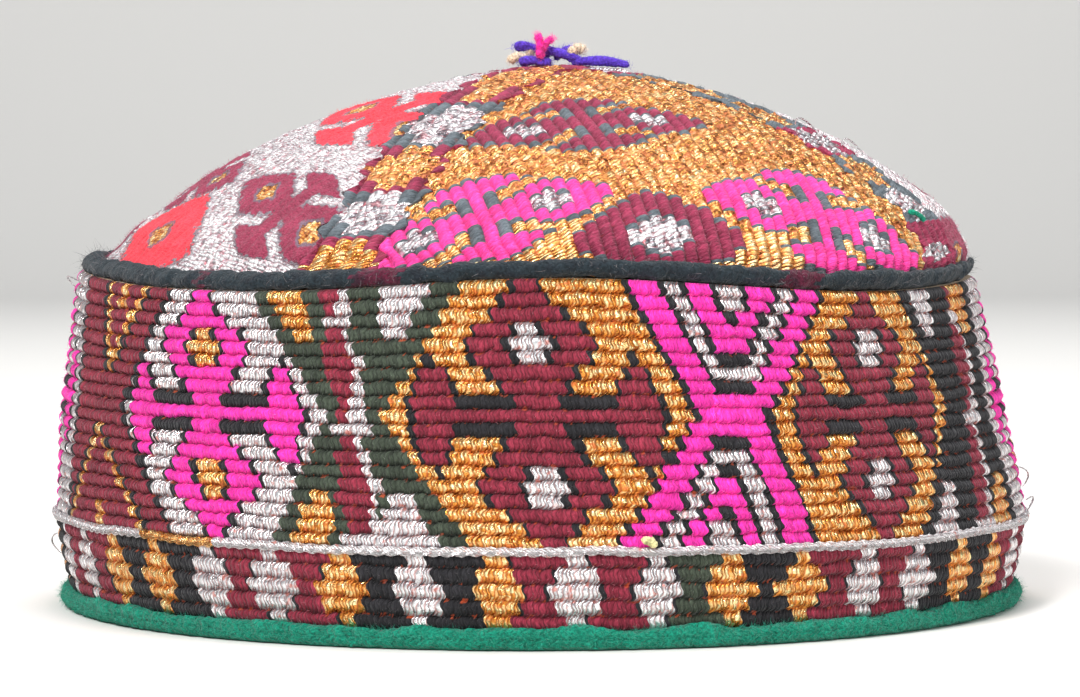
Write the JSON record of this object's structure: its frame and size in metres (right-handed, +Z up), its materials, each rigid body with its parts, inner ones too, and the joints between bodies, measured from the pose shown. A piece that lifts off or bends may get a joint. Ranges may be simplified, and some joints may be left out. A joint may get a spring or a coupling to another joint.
{
  "type": "embroidered skullcap",
  "caption": "Round embroidered skullcap with a gored dome crown, corded side band, lower border, wool and metal-thread cords over the seams, a bound rim and a yarn tuft on top.",
  "frame": {"origin": "centre of the plane that the rim rests on", "axes": "+Z up through the crown, -Y the side the picture faces, +X to the right in the picture"},
  "size_m": [0.1824, 0.1824, 0.1051],
  "materials": {
    "green_wool": "fuzzy emerald green wool",
    "border_stitching": "wool and metal-thread embroidery",
    "band_stitching": "wool and metal-thread embroidery over corded rows",
    "metal_thread": "silver-coloured thread over a cotton core",
    "gold_gore": "gold-thread embroidery with wool motifs",
    "silver_gore": "silver-thread embroidery with wool motifs",
    "dark_wool": "fuzzy blue-black wool",
    "tuft_yarn": "violet, pink and cream wool ends"
  },
  "bodies": {
    "root": {"edge_binding": "green_wool", "lower_border": "border_stitching", "side_band": "band_stitching", "metal_cord": "metal_thread", "crown_gore_front": "gold_gore", "crown_gore_right": "silver_gore", "crown_gore_back": "gold_gore", "crown_gore_left": "silver_gore", "crown_cord": "dark_wool", "top_tuft": "tuft_yarn"}
  },
  "joints": []
}
